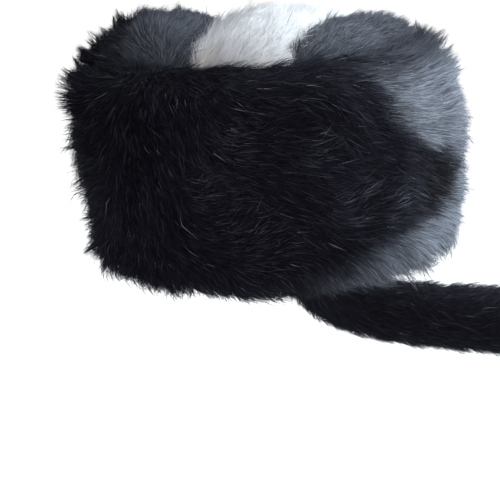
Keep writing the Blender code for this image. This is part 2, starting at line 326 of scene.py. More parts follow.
# The lie of the crown's hair: it turns left on the left, right along the pale strip's left edge,
# and out over the rim
CROWN_LIE = (0.42, 1.0, 0.10)
CROWN_LEFT = (0.0, -0.03)
LEFT_TURN = 0.35
STRIPE_EDGE_STARTS = (-0.042, -0.024)
STRIPE_EDGE_ENDS = (0.004, -0.012)
STRIPE_EDGE_TURN = 0.75
CROWN_RIM = (0.80, 1.15)
RIM_LEFT_LESS = 0.4
RIM_LOSS = 0.7
RIM_LEAN = 0.9

# The tail's middle line: its start behind the head, its steps, how far round and ahead of a step
# points count, how few end the line, and how many steps it can have
TAIL_START = 0.004
TAIL_STEP = 0.012
TAIL_REACH = 0.028
TAIL_AHEAD = 0.004
TAIL_FEWEST = 12
TAIL_LONGEST = 60

# How steeply hairs stand up, with what is added or dropped in some places
LIFT = math.radians(24)
SIDE_LIFT = math.radians(8)
SIDE_TOP = (0.6, 1.0)
CROWN_LIFT = math.radians(3)
WILD_LIFT = math.radians(42)
FRONT_TOP_DROP = math.radians(10)
FRONT_TOP = (0.75, 1.0)
TAIL_DROP = math.radians(6)

# How wild the coats are, how much wilder the band's left is, and the tufts of wild hair
LEAST_WILD = 0.2
CROWN_WILD = 0.3
LEFT_WILDER = 0.35
WILD_LEFT = (0.0, 0.8)
WILD_TUFTS = Wave(1.0, 0.012, SEED + 4)
TUFTS_SHOW = (0.1, 1.2)

# How hairs stray from their lie, in radians: in wide and narrow waves, one by one, and in whorls
WIDE_SWIRL = Wave(0.32, 0.055, SEED)
NARROW_SWIRL = Wave(0.16, 0.016, SEED + 1)
HAIR_SWIRL = 0.30
WHORL_SWIRL = 1.2

# Smooth noise: how many waves it adds up, and how their sizes vary
WAVES_ADDED = 7
WAVE_SIZES = (0.6, 1.4)

# Hairs: their thickness and how it varies, how deep their roots stand, and how their lengths vary
FINE_WIDTH = 0.00027
GUARD_WIDTH = 0.00028
HAIR_WIDTHS = (0.7, 1.2)
ROOT_DEPTH = 0.0006
HAIR_LENGTHS = (0.65, 1.25)
LENGTH_WAVE = Wave(0.12, 0.025, SEED + 2)
STANDING_LONGER = 0.50

# How the lifts vary from hair to hair and over the coat
LIFT_STRAY = 0.14
LIFT_WAVE = Wave(0.12, 0.012, SEED + 3)

# The right side's hem has longer hairs
HEM_RIGHT = (0.4, 0.9)
HEM_LONGER_UNDER = (0.012, -0.002)
HEM_LONGER = 0.7

# A fine hair: how far along it is thickest, how high its ridge is there, and how far it can twist
FINE_THICKEST = 0.35
FINE_RIDGE = 0.55
FINE_TWIST = 0.9

# A guard hair: how much of its lift is left past its bend, and how much its bend follows its tip
GUARD_LIFT_LEFT = 0.35
BEND_FOLLOWS = 0.35

# Where the corners of a hair lie in its cell of the map
FINE_CORNERS = ((0.5, 0.08), (0.15, 0.4), (0.85, 0.4), (0.5, 0.95))
GUARD_CORNERS = ((0.5, 0.06), (0.12, 0.5), (0.5, 0.5), (0.88, 0.5), (0.5, 0.95))

# The light a hair shows: how far it strays, how much it is turned off the hair, and how round it is
FACING_STRAY = 0.13
FACING_OFF_HAIR = 0.35
ROUNDNESS = 0.50

# Neighbouring hairs lean together: how many fine or guard hairs, and how much when they lie
FINE_GATHERED = 6
FINE_PULL = 0.20
GUARDS_GATHERED = 4
GUARD_PULL = 0.25
PULLS = (0.3, 1.0)

# Hairs that stand up by more than the first of these lean together more, wholly at the second
TUFT_LIFTS = (0.60, 1.00)
STANDING_PULL = 0.60

# In ruffled places hairs also meet in large spiky tufts: how many, how long, how tightly, how steep
TUFT_SIZE = 20
TUFT_LENGTH = 0.0185
TUFT_LENGTHS = (0.45, 1.10)
TUFT_PULLS = (0.45, 1.00)
TUFT_RISE = math.radians(20)

# How the tone varies from hair to hair, and how many hairs are strays of full tone
TONE_LEAST = 0.25
TONE_MORE = 2.25
STRAYS = 0.003

# A few hairs are lighter, the fewer the higher the power
LIGHTER = 0.30
LIGHTER_POWER = 14
WHORL_LIGHTER = 1.1
WHORL_POWER = 11

# The painted sheen of the crown's lobes fades towards their outer rims, on the left one wholly and
# raggedly
LEFT_LOBE_DARKENS = (-0.072, -0.046)
LEFT_LOBE_EDGE = Wave(0.004, 0.010, SEED + 6)
RIGHT_LOBE_DARKENS = (0.056, 0.074)
RIGHT_LOBE_DARKNESS = 0.45

# Painted shade in the fold: its darkest place, where the wedge ends, and the black painted there
FOLD_SHADE_PLACE = (0.103, -0.046, 0.041)
FOLD_PAINTED_SHADE = (0.003, 0.002, 0.003)

# Painted shade: the black is deepened towards the upper left
SHADE_WAY = (-0.6, 0.0, 0.8)
SHADE_FROM = (0.050, 0.115)
UPPER_LEFT_SHADE = (0.004, 0.004, 0.006)

# A yellow patch at the front left corner of the pale strip
YELLOW_PATCH = (-0.014, -0.097, 0.110)
YELLOW_PATCH_COLOUR = (0.50, 0.40, 0.25)

# The bluish sheen of the black fur
SHEEN_TINT = (0.72, 0.84, 1.0)

# Noise lies about between these two values
NOISE_SPREAD = (0.3, 0.7)

# The whip stitches inside: their spacing, reach to each side of a seam, slant, bow and thickness
STITCH_PITCH = 0.0055
STITCH_REACH = 0.0026
STITCH_SLANT = 0.0012
STITCH_BOW = 0.0007
THREAD_RADIUS = 0.00038
THREAD_SIDES = 6
THREAD_STEPS = 6

# The crown's seams: their share of the head's length, the stations where they are read, a station's
# half width, and the height from which the hide is looked for
SEAM_SHARE = 0.90
SEAM_STATIONS = 9
SEAM_SLICE = 0.012
INSIDE_HEIGHT = 0.05


def unit(vectors):
    """Each row of an array brought to length one."""
    length = np.linalg.norm(vectors, axis=1, keepdims=True)
    return vectors / np.maximum(length, 1e-9)


def smoothstep(low, high, values):
    """A smooth rise from 0 to 1 as values go from low to high."""
    share = np.clip((values - low) / (high - low), 0.0, 1.0)
    return share * share * (3 - 2 * share)


def bell(values, middle, width):
    """A bell, 1 at a middle value and 0 far from it."""
    return np.exp(-(((values - middle) / width) ** 2))


def turned(vectors, axes, angles):
    """Each vector turned about its own unit axis by its own angle."""
    cos, sin = np.cos(angles)[:, None], np.sin(angles)[:, None]
    along = (vectors * axes).sum(1, keepdims=True)
    return vectors * cos + np.cross(axes, vectors) * sin + axes * along * (1 - cos)


def oval_place(points):
    """Each point's angle round the head oval and how far out of it the point lies."""
    x, y = points[:, 0] / HEAD_X, points[:, 1] / HEAD_Y
    angle = np.arctan2(y, x)
    edge = np.stack([HEAD_X * np.cos(angle), HEAD_Y * np.sin(angle)], 1)
    outward = unit(np.stack([np.cos(angle) / HEAD_X, np.sin(angle) / HEAD_Y], 1))
    out = ((points[:, :2] - edge) * outward).sum(1)
    return angle, out, np.pad(outward, ((0, 0), (0, 1)))


def placed(name, data):
    """A new object in the scene."""
    item = bpy.data.objects.new(name, data)
    bpy.context.scene.collection.objects.link(item)
    return item


def mesh_object(name, points, faces, material):
    """A new mesh object from arrays of points and triangles."""
    mesh = bpy.data.meshes.new(name)
    mesh.vertices.add(len(points))
    mesh.vertices.foreach_set("co", points.astype(np.float32).ravel())
    mesh.loops.add(faces.size)
    mesh.loops.foreach_set("vertex_index", faces.astype(np.int32).ravel())
    mesh.polygons.add(len(faces))
    mesh.polygons.foreach_set("loop_start", np.arange(0, faces.size, 3, dtype=np.int32))
    mesh.update(calc_edges=True)
    mesh.materials.append(material)
    return placed(name, mesh)


def add_layer(mesh, name, values):
    """One number for each point of a mesh, under a name that a material reads."""
    layer = mesh.attributes.new(name, "FLOAT", "POINT")
    layer.data.foreach_set("value", values.astype(np.float32))


def rows_of(items, name, kind):
    """A named property of each of some mesh items, as rows of three."""
    values = np.empty(len(items) * 3, kind)
    items.foreach_get(name, values)
    return values.reshape(-1, 3)


def arrays_of(mesh):
    """A triangle mesh's points, point normals, triangles and their areas."""
    mesh.calc_loop_triangles()
    points = rows_of(mesh.vertices, "co", np.float32).astype(float)
    normals = rows_of(mesh.vertices, "normal", np.float32).astype(float)
    faces = rows_of(mesh.loop_triangles, "vertices", np.int32)
    a, b, c = (points[faces[:, corner]] for corner in range(3))
    return points, normals, faces, np.linalg.norm(np.cross(b - a, c - a), axis=1) / 2


def facing_out(node, points, normals):
    """How much each point of an undercoat belongs to the outside of the coat, from 0 to 1."""
    if node == "tail_fur":
        return np.ones(len(points))
    if node == "band_fur":
        _, _, outward = oval_place(points)
        side = smoothstep(*FACES_OUT, (normals * outward).sum(1))
        under = smoothstep(*FACES_DOWN, -normals[:, 2]) * (points[:, 2] < HEM_TOP)
        over = smoothstep(*FACES_UP, normals[:, 2])
        return np.maximum(np.maximum(side, under), over)
    return smoothstep(*CROWN_FACES_UP, normals[:, 2])


def crease(points):
    """The fold across the right side of the band's coat, 1 along its middle and 0 away from it."""
    angle, out, _ = oval_place(points)
    middle = CREASE_HEIGHT + CREASE_SWAY * np.sin(angle * CREASE_SWAYS)
    across = bell(angle, CREASE_ANGLE, CREASE_SPREAD)
    return across * bell(points[:, 2], middle, CREASE_WIDTH) * (out > CREASE_START)


def smoothed(node):
    """A node's form without its locks, as the points, point normals and triangles of an even mesh."""
    item = placed("smoothed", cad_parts[node].data.copy())
    remesh = item.modifiers.new("even", "REMESH")
    remesh.mode = "VOXEL"
    remesh.voxel_size = VOXEL
    smooth = item.modifiers.new("smooth", "SMOOTH")
    smooth.factor = SMOOTH_FACTOR
    smooth.iterations = SMOOTH_ROUNDS
    item.modifiers.new("triangles", "TRIANGULATE")
    depsgraph = bpy.context.evaluated_depsgraph_get()
    mesh = bpy.data.meshes.new_from_object(item.evaluated_get(depsgraph))
    bpy.data.objects.remove(item)
    points, normals, faces, _ = arrays_of(mesh)
    bpy.data.meshes.remove(mesh)
    return points, normals, faces


def trimmed(points, sink):
    """How deep the points of the band's undercoat lie, from the sink that they have as yet."""
    angle, _, _ = oval_place(points)
    height = points[:, 2]
    right = smoothstep(*RIGHT_SIDE, np.cos(angle))
    sink = sink * (1 - (HEM_SHRINK - RIGHT_HEM_KEEPS * right) * smoothstep(*HEM_SHRINKS, height))
    sink = sink + LEFT_SINK * smoothstep(*LEFT_SIDE, -np.cos(angle))
    for depth, *heights in RIGHT_TRIMS:
        sink = sink + depth * right * smoothstep(*heights, height)
    return sink + NOTCH_DEPTH * NOTCH.near(points) + CREASE_DEPTH * crease(points)


def clear_of_wall(points):
    """The points of the band's undercoat, with those beside the wall of hide kept out of it."""
    _, out, outward = oval_place(points)
    beside = (points[:, 2] > WALL_FOOT) & (points[:, 2] < WALL_TOP)
    lack = np.where(beside, np.maximum(WALL_CLEARANCE - out, 0.0), 0.0)
    return points + outward * lack[:, None]


def undercoat(coat, material):
    """The coat's form without its locks, a little smaller, for the hairs to stand on."""
    points, normals, faces = smoothed(coat.node)
    outside = facing_out(coat.node, points, normals)
    sink = coat.sink * outside
    if coat.node == "band_fur":
        sink = trimmed(points, sink)
    if coat.node == "crown_fur_left":
        sink += LOBE_RIM_SINK * smoothstep(*LOBE_RIM, points[:, 0]) * outside
    points = points - normals * sink[:, None]
    tone = np.full(len(points), coat.tone)
    if coat.node == "band_fur":
        points = clear_of_wall(points)
        # Painted sheen on the right side of the band's undercoat
        tone = tone + PAINTED_SHEEN_STRENGTH * painted_sheen(points)
    item = mesh_object(coat.name + "_undercoat", points, faces, material)
    item.data.shade_smooth()
    add_layer(item.data, "tone", UNDERCOAT_TONE * tone)
    return item


def ruffled(points):
    """How ruffled the coat is at each point, from 0 to 1."""
    return np.minimum(sum(spot.near(points) for spot in RUFFLES), 1.0)


def on_band(points):
    """How much each point belongs to the front, and its height as a share of the band's."""
    angle, _, _ = oval_place(points)
    height = (points[:, 2] - COAT_LOW.z) / (COAT_HIGH.z - COAT_LOW.z)
    return smoothstep(*FRONT, -np.sin(angle)), height


def band_way(points):
    """The lie of the hair on the wall: back along both sides, down to the hem, up at the top edge."""
    angle, _, outward = oval_place(points)
    tangent = unit(np.stack([-HEAD_X * np.sin(angle), HEAD_Y * np.cos(angle), 0 * angle], 1))
    past = (angle - MEETING) % math.tau
    parting = (PARTING - MEETING) % math.tau
    side = np.tanh((past - parting) / LIE_CHANGES)
    side = side * np.tanh(past / LIE_CHANGES) * np.tanh((math.tau - past) / LIE_CHANGES)
    front, height = on_band(points)
    down = DOWN_LEAN - UP_LEAN * smoothstep(*UP_HEIGHTS, height) * (1 - front)
    down = down + HEM_LEAN * smoothstep(*HEM_HEIGHTS, height)
    ruffle = ruffled(points)
    way = tangent * side[:, None]
    way = way + outward * (OUT_LEAN + RUFFLED_LEAN * ruffle)[:, None]
    way[:, 2] += ruffle * smoothstep(*RUFFLED_HEIGHTS, height) - down
    return way


def crown_way(points):
    """The lie of the hair on the top: from front to back, a little to the right, out at the rim."""
    _, _, outward = oval_place(points)
    x = points[:, 0]
    reach = np.hypot(x / HEAD_X, points[:, 1] / HEAD_Y)
    left = smoothstep(*CROWN_LEFT, x)
    edge = smoothstep(*STRIPE_EDGE_STARTS, x) * smoothstep(*STRIPE_EDGE_ENDS, x)
    way = np.tile(CROWN_LIE, (len(points), 1))
    way[:, 0] -= LEFT_TURN * left
    way[:, 0] += STRIPE_EDGE_TURN * edge
    rim = smoothstep(*CROWN_RIM, reach) * (1 - RIM_LEFT_LESS * left)
    return way * (1 - RIM_LOSS * rim)[:, None] + outward * (RIM_LEAN * rim)[:, None]


def tail_middle(points):
    """The tail's middle line as points from its root to its tip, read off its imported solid."""
    _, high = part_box("tail_fur")
    here = np.array([0.0, HEAD_Y + TAIL_START, high.z])
    ahead = np.array([0.0, 0.0, -1.0])
    line = [here]
    while len(line) <= TAIL_LONGEST:
        near = points[np.linalg.norm(points - (here + ahead * TAIL_STEP), axis=1) < TAIL_REACH]
        forward = near[(near - here) @ ahead > TAIL_AHEAD]
        if len(forward) < TAIL_FEWEST:
            break
        way = forward.mean(0) - here
        ahead = way / np.linalg.norm(way)
        here = here + ahead * TAIL_STEP
        line.append(here)
    return np.array(line)


def tree_of(places):
    """A tree that finds the nearest of some places."""
    tree = KDTree(len(places))
    for index, place in enumerate(places):
        tree.insert(place, index)
    tree.balance()
    return tree


def nearest_in(tree, points):
    """The number of the place in a tree that lies nearest to each point."""
    return np.array([tree.find(point)[1] for point in points])


def tail_way(points):
    """The lie of the hair on the tail: along it to its tip."""
    line = tail_middle(arrays_of(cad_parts["tail_fur"].data)[0])
    ways = unit(np.gradient(line, axis=0))
    return ways[nearest_in(tree_of(line), points)]


# The lie of each coat's hair, the crown's apart
WAYS = {"band_fur": band_way, "tail_fur": tail_way}


def lift_of(node, points):
    """How steeply the hairs stand up at their roots, in radians."""
    lift = np.full(len(points), LIFT)
    if node == "band_fur":
        angle, _, _ = oval_place(points)
        front, height = on_band(points)
        lift += SIDE_LIFT * (1 - front)
        lift += SIDE_LIFT * smoothstep(*SIDE_TOP, height) * (1 - front)
        lift -= FRONT_TOP_DROP * smoothstep(*FRONT_TOP, height) * front
        wild = LEFT_WILDER * smoothstep(*WILD_LEFT, -np.cos(angle)) + LEAST_WILD
    elif node == "tail_fur":
        lift -= TAIL_DROP
        wild = LEAST_WILD
    else:
        lift += CROWN_LIFT
        wild = CROWN_WILD
    tufts = smoothstep(*TUFTS_SHOW, WILD_TUFTS.at(points))
    wild = np.minimum(wild + ruffled(points), 1.0)
    return lift + WILD_LIFT * tufts * wild


def roots_on(coat, base, count, chance):
    """Places, normals and lies of hairs sampled evenly over the outside of an undercoat."""
    points, normals, faces, areas = arrays_of(base.data)
    outer = facing_out(coat.node, points, normals)
    areas = areas * outer[faces].mean(1)
    picks = chance.choice(len(faces), size=count, p=areas / areas.sum())
    one, two = chance.random(count), chance.random(count)
    fold = one + two > 1
    one[fold], two[fold] = 1 - one[fold], 1 - two[fold]
    shares = np.stack([1 - one - two, one, two], 1)[:, :, None]
    places = (points[faces[picks]] * shares).sum(1)
    upward = unit((normals[faces[picks]] * shares).sum(1))
    way = WAYS.get(coat.node, crown_way)(places)
    way = unit(way - upward * (way * upward).sum(1, keepdims=True))
    swirl = WIDE_SWIRL.at(places) + NARROW_SWIRL.at(places)
    swirl = swirl + chance.normal(0.0, HAIR_SWIRL, count)
    if coat.node == "band_fur":
        angle, _, _ = oval_place(places)
        swirl = swirl * (1 - SMOOTH_CALM * smoothstep(*SMOOTH_SIDE, angle))
        swirl = swirl + WHORL_SWIRL * sum(spot.near(places) for spot in WHORLS)
    return places, upward, turned(way, upward, swirl)


def gather(places, tips, size, lying_pull, lifts, chance):
    """Tips of hairs drawn together in groups of about size, more where the hairs stand up."""
    count = len(places)
    heads = chance.choice(count, size=max(count // size, 1), replace=False)
    nearest = nearest_in(tree_of(places[heads]), places)
    pull = lying_pull + STANDING_PULL * smoothstep(*TUFT_LIFTS, lifts)
    pulls = chance.uniform(*PULLS, len(heads))[nearest] * pull
    return tips + (tips[heads[nearest]] - tips) * pulls[:, None]


class Tufts:
    """The large tufts of a coat: where each stands, its tip, and how tightly it draws its hairs."""

    def __init__(self, places, upward, ways, lifts, chance):
        """Chooses some hairs' roots, and lets a tuft rise from each."""
        heads = chance.choice(len(places), size=len(places) // TUFT_SIZE, replace=False)
        rises = rising(upward[heads], ways[heads], lifts[heads] + TUFT_RISE)
        lengths = TUFT_LENGTH * chance.uniform(*TUFT_LENGTHS, (len(heads), 1))
        self.tips = places[heads] + rises * lengths
        self.pulls = chance.uniform(*TUFT_PULLS, len(heads))
        self.tree = tree_of(places[heads])

    def draw(self, places, tips):
        """The tips of hairs rooted at places, drawn to their tufts where the coat is ruffled."""
        nearest = nearest_in(self.tree, places)
        pulls = self.pulls[nearest] * ruffled(places)
        return tips + (self.tips[nearest] - tips) * pulls[:, None]


def rising(upward, ways, lifts):
    """The way each hair grows from its root."""
    return unit(ways * np.cos(lifts)[:, None] + upward * np.sin(lifts)[:, None])


def cells(count, shares):
    """A map that gives every hair a cell of its own, with its corners at shares of the cell."""
    side = math.ceil(math.sqrt(count))
    index = np.arange(count)
    corner = np.stack([index % side, index // side], 1)[:, None, :]
    return (corner + np.array(shares)[None, :, :]) / side


def leaning(upward, axis, chance):
    """The way each hair faces the light: out of the coat, each a little differently."""
    stray = chance.normal(0.0, FACING_STRAY, upward.shape)
    along = axis * FACING_OFF_HAIR * (upward * axis).sum(1, keepdims=True)
    return unit(unit(upward - along) + stray)


def squared(upward):
    """Normals of the band drawn towards a broad front and flat sides, for what the light shows."""
    flat = np.hypot(upward[:, 0], upward[:, 1])
    facing = np.arctan2(upward[:, 1], upward[:, 0])
    facing = facing + CORNER_SHARPNESS * np.sin(4 * (facing - CORNER_FACING))
    return np.stack([flat * np.cos(facing), flat * np.sin(facing), upward[:, 2]], 1)


def sides_of(upward, root, tip, twist, chance):
    """Each hair's axis and two directions across it, twisted about it by up to a twist."""
    axis = unit(tip - root)
    side = unit(np.cross(upward, axis))
    side = turned(side, axis, chance.uniform(*twist, len(root)))
    return axis, side, np.cross(axis, side)


def around(side, top, count):
    """Ways spread evenly round an axis, from two directions across it."""
    turns = [math.tau * step / count for step in range(count)]
    return [side * math.cos(turn) + top * math.sin(turn) for turn in turns]


def fine_hairs(places, upward, shown, ways, lengths, lifts, tufts, chance):
    """Straight tapering hairs of four triangles: points, faces, map, shares along and normals."""
    count = len(places)
    root = places - upward * ROOT_DEPTH
    tip = root + rising(upward, ways, lifts) * lengths[:, None]
    tip = gather(places, tip, FINE_GATHERED, FINE_PULL, lifts, chance)
    tip = tufts.draw(places, tip)
    axis, side, top = sides_of(upward, root, tip, (-FINE_TWIST, FINE_TWIST), chance)
    width = FINE_WIDTH * chance.uniform(*HAIR_WIDTHS, count)[:, None]
    middle = root + (tip - root) * FINE_THICKEST + top * width * FINE_RIDGE
    points = np.stack([root, middle + side * width / 2, middle - side * width / 2, tip], 1)
    faces = np.array([(0, 2, 1), (0, 1, 3), (0, 3, 2), (1, 2, 3)])
    shares = np.array([0.0, FINE_THICKEST, FINE_THICKEST, 1.0])
    facing = leaning(shown, axis, chance)
    round_sides = ROUNDNESS * side
    normals = np.stack([facing, facing + round_sides, facing - round_sides, facing], 1)
    return points, faces, cells(count, FINE_CORNERS), shares, normals


def guard_hairs(places, upward, shown, ways, lengths, lifts, tufts, chance):
    """Bent hairs of six triangles: points, faces, map, shares along and normals."""
    count = len(places)
    low = rising(upward, ways, lifts)
    high = rising(upward, ways, lifts * GUARD_LIFT_LEFT)
    root = places - upward * ROOT_DEPTH
    half = (lengths * 0.5)[:, None]
    bend = root + low * half
    free = bend + high * half
    tip = gather(places, free, GUARDS_GATHERED, GUARD_PULL, lifts, chance)
    tip = tufts.draw(places, tip)
    bend = bend + (tip - free) * BEND_FOLLOWS
    axis, side, top = sides_of(upward, root, tip, (0, math.tau), chance)
    width = GUARD_WIDTH * chance.uniform(*HAIR_WIDTHS, count)[:, None]
    ring = around(side, top, 3)
    points = np.stack([root, *(bend + way * width / 2 for way in ring), tip], 1)
    faces = np.array([(0, 2, 1), (0, 3, 2), (0, 1, 3), (4, 1, 2), (4, 2, 3), (4, 3, 1)])
    shares = np.array([0.0, 0.5, 0.5, 0.5, 1.0])
    facing = leaning(shown, axis, chance)
    normals = np.stack([facing, *(facing + ROUNDNESS * way for way in ring), facing], 1)
    return points, faces, cells(count, GUARD_CORNERS), shares, normals


def together(groups):
    """Groups of hairs as one set of points, faces, map corners, shares along, normals and tones."""
    parts = []
    start, low = 0, 0.0
    total = sum(len(group[0]) for group in groups)
    for points, faces, spots, shares, normals, tone in groups:
        count, size = points.shape[:2]
        index = np.arange(count)[:, None, None] * size + faces[None] + start
        spots = spots * np.array([1.0, count / total]) + np.array([0.0, low])
        start += count * size
        low += count / total
        parts.append((
            points.reshape(-1, 3),
            index.reshape(-1, 3),
            spots.reshape(-1, 2),
            np.tile(shares, count),
            unit(normals.reshape(-1, 3)),
            tone,
        ))
    return tuple(np.concatenate(part) for part in zip(*parts))


def painted_sheen(points):
    """How much painted sheen the band's coat has at each point: 1 on its right side where the light
    falls, 0 where it is black.
    """
    angle, _, _ = oval_place(points)
    turn, height = np.degrees(angle), points[:, 2]
    turns = [row.turn for row in WEDGE]
    low = np.interp(turn, turns, [row.low for row in WEDGE])
    high = np.interp(turn, turns, [row.high for row in WEDGE])
    ragged = RAGGED[0].at(points) + RAGGED[1].at(points)
    above = smoothstep(*UPPER_EDGE, height - high + ragged)
    below = LOWER_SHEEN * smoothstep(*LOWER_EDGE, low - height + ragged)
    lower = smoothstep(*LOWER_SHEEN_STARTS, angle)
    below = below * (LOWER_SHEEN_LEAST + (1 - LOWER_SHEEN_LEAST) * lower)
    fold = bell(height, CREASE_HEIGHT, CREASE_WIDTH)
    point = angle - WEDGE_POINT * fold + POINT_STRAYS * ragged
    above = np.maximum(above, smoothstep(*WEDGE_FADES, point))
    ends = 1 - smoothstep(*SHEEN_ENDS, angle)
    starts = smoothstep(*SHEEN_STARTS, angle)
    top = 1 - TOP_DARKNESS * smoothstep(*TOP_DARKENS, height)
    cloudy = CLOUD_LEVEL + CLOUDS.at(points)
    return np.maximum(above, below) * ends * starts * top * cloudy


def tones(coat, places, chance):
    """How far each hair is from black, or on the pale strip from white; on the band's right side and
    the crown's lobes much of this is painted sheen.
    """
    count = len(places)
    stray = (chance.random(count) < STRAYS).astype(float)
    uneven = TONE_LEAST + TONE_MORE * chance.random(count) ** 2
    tone = coat.tone * uneven + LIGHTER * chance.random(count) ** LIGHTER_POWER
    # On the crown's lobes the tone is painted sheen, fading towards their rims
    if coat.node == "crown_fur_left":
        ragged = LEFT_LOBE_EDGE.at(places)
        tone = tone * smoothstep(*LEFT_LOBE_DARKENS, places[:, 0] + ragged)
    if coat.node == "crown_fur_right":
        tone = tone * (1 - RIGHT_LOBE_DARKNESS * smoothstep(*RIGHT_LOBE_DARKENS, places[:, 0]))
    if coat.node == "band_fur":
        whorl = np.minimum(sum(spot.near(places) for spot in WHORLS), 1.0)
        tone = np.maximum(tone, WHORL_LIGHTER * whorl * chance.random(count) ** WHORL_POWER)
        # Painted sheen on the band's right side, uneven from hair to hair
        tone = tone + PAINTED_SHEEN_STRENGTH * painted_sheen(places) * uneven
    return np.clip(np.maximum(stray, tone), 0.0, 1.0)


def planned(coat, base, count, length, chance):
    """What the hairs of one kind are made from, in the order that the kinds take."""
    places, upward, ways = roots_on(coat, base, count, chance)
    lengths = length * chance.uniform(*HAIR_LENGTHS, count)
    lengths *= 1 + LENGTH_WAVE.at(places)
    lifts = lift_of(coat.node, places) + chance.normal(0, LIFT_STRAY, count)
    lifts += LIFT_WAVE.at(places)
    lengths *= 1 + STANDING_LONGER * smoothstep(*TUFT_LIFTS, lifts)
    shown = upward
    if coat.node == "band_fur":
        right = smoothstep(*HEM_RIGHT, np.cos(oval_place(places)[0]))
        lengths *= 1 + HEM_LONGER * right * smoothstep(*HEM_LONGER_UNDER, places[:, 2])
        shown = squared(upward)
    return places, upward, shown, ways, lengths, lifts


def hair_object(name, groups, material):
    """Groups of hairs as one object, with its map, its normals and what its material reads."""
    points, faces, spots, shares, normals, tone = together(groups)
    item = mesh_object(name, points, faces, material)
    item.data.shade_smooth()
    item.data.normals_split_custom_set_from_vertices(normals)
    layer = item.data.uv_layers.new(name="OFBake")
    layer.data.foreach_set("uv", spots[faces.ravel()].astype(np.float32).ravel())
    add_layer(item.data, "along", shares)
    add_layer(item.data, "tone", tone)
    return item


def grow(coat, base, material, chance):
    """All the hairs of a coat, as the coat's pieces."""
    kinds = ((fine_hairs, coat.fine, coat.fine_length), (guard_hairs, coat.guards, coat.guard_length))
    made = []
    for kind, count, length in kinds:
        plan = planned(coat, base, count, length, chance)
        made.append((kind, plan, tones(coat, plan[0], chance)))
    places, upward, _, ways, _, lifts = made[0][1]
    tufts = Tufts(places, upward, ways, lifts, chance)
    items = []
    for part in range(coat.pieces):
        groups = []
        for kind, plan, tone in made:
            angle = oval_place(plan[0])[0]
            share = ((angle + math.pi) / math.tau * coat.pieces).astype(int) % coat.pieces
            mine = share == part
            hairs = kind(*(each[mine] for each in plan), tufts, chance)
            groups.append((*hairs, np.repeat(tone[mine], hairs[0].shape[1])))
        name = coat.name + "_hair" + (f"_{part + 1}" if coat.pieces > 1 else "")
        items.append(hair_object(name, groups, material))
    return items


def hide_tree():
    """The faces of the wall and of the crown's hide, to find their inner surfaces by."""
    points, faces = [], []
    start = 0
    for name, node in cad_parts.items():
        if "hide" not in name:
            continue
        some, _, triangles, _ = arrays_of(node.data)
        points.extend(map(Vector, some))
        faces.extend((triangles + start).tolist())
        start += len(some)
    return BVHTree.FromPolygons(points, faces)


def met(tree, place, way):
    """Where a line from inside the cap meets the hide, or None."""
    return tree.ray_cast(Vector(place), Vector(way).normalized())[0]


def crown_seams():
    """The two seams beside the pale strip, as points in plan spaced by the stitches."""
    points = arrays_of(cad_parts["crown_hide_stripe"].data)[0]
    seams = []
    for side in (-1, 1):
        stations = np.linspace(-SEAM_SHARE * HEAD_Y, SEAM_SHARE * HEAD_Y, SEAM_STATIONS)
        edges = []
        for y in stations:
            near = points[np.abs(points[:, 1] - y) < SEAM_SLICE]
            edges.append((side * near[:, 0]).max() * side)
        slope, start = np.polyfit(stations, edges, 1)
        ends = np.array([(start + slope * y, y) for y in (stations[0], stations[-1])])
        count = int(np.linalg.norm(ends[1] - ends[0]) / STITCH_PITCH)
        shares = np.linspace(0, 1, count)[:, None]
        seams.append((ends[0] * (1 - shares) + ends[1] * shares, unit(ends[1:] - ends[:1])[0]))
    return seams


def seam_stitches(tree):
    """Each stitch of the crown's seams and of the wall's top: its two ends and which way it bows."""
    pairs = []
    for places, along in crown_seams():
        across = np.array([along[1], -along[0]])
        for x, y in places:
            ends = []
            for side in (-1, 1):
                shift = across * side * STITCH_REACH + along * side * STITCH_SLANT
                ends.append(met(tree, (x + shift[0], y + shift[1], INSIDE_HEIGHT), (0, 0, 1)))
            pairs.append((*ends, Vector((0, 0, -1))))
    count = int(math.pi * (HEAD_X + HEAD_Y) / STITCH_PITCH)
    skew = STITCH_SLANT / HEAD_X
    for step in range(count):
        turn = math.tau * step / count
        out = Vector((math.cos(turn), math.sin(turn), 0))
        skewed = (math.cos(turn - skew), math.sin(turn - skew), 0)
        low = met(tree, (0, 0, WALL_TOP - STITCH_REACH), skewed)
        if low is None:
            continue
        inner = low * (1 - STITCH_REACH / low.length)
        turned_in = Matrix.Rotation(2 * skew, 3, "Z") @ inner
        high = met(tree, (turned_in.x, turned_in.y, INSIDE_HEIGHT), (0, 0, 1))
        pairs.append((low, high, (-out - Vector((0, 0, 1))).normalized()))
    return [pair for pair in pairs if pair[0] is not None and pair[1] is not None]


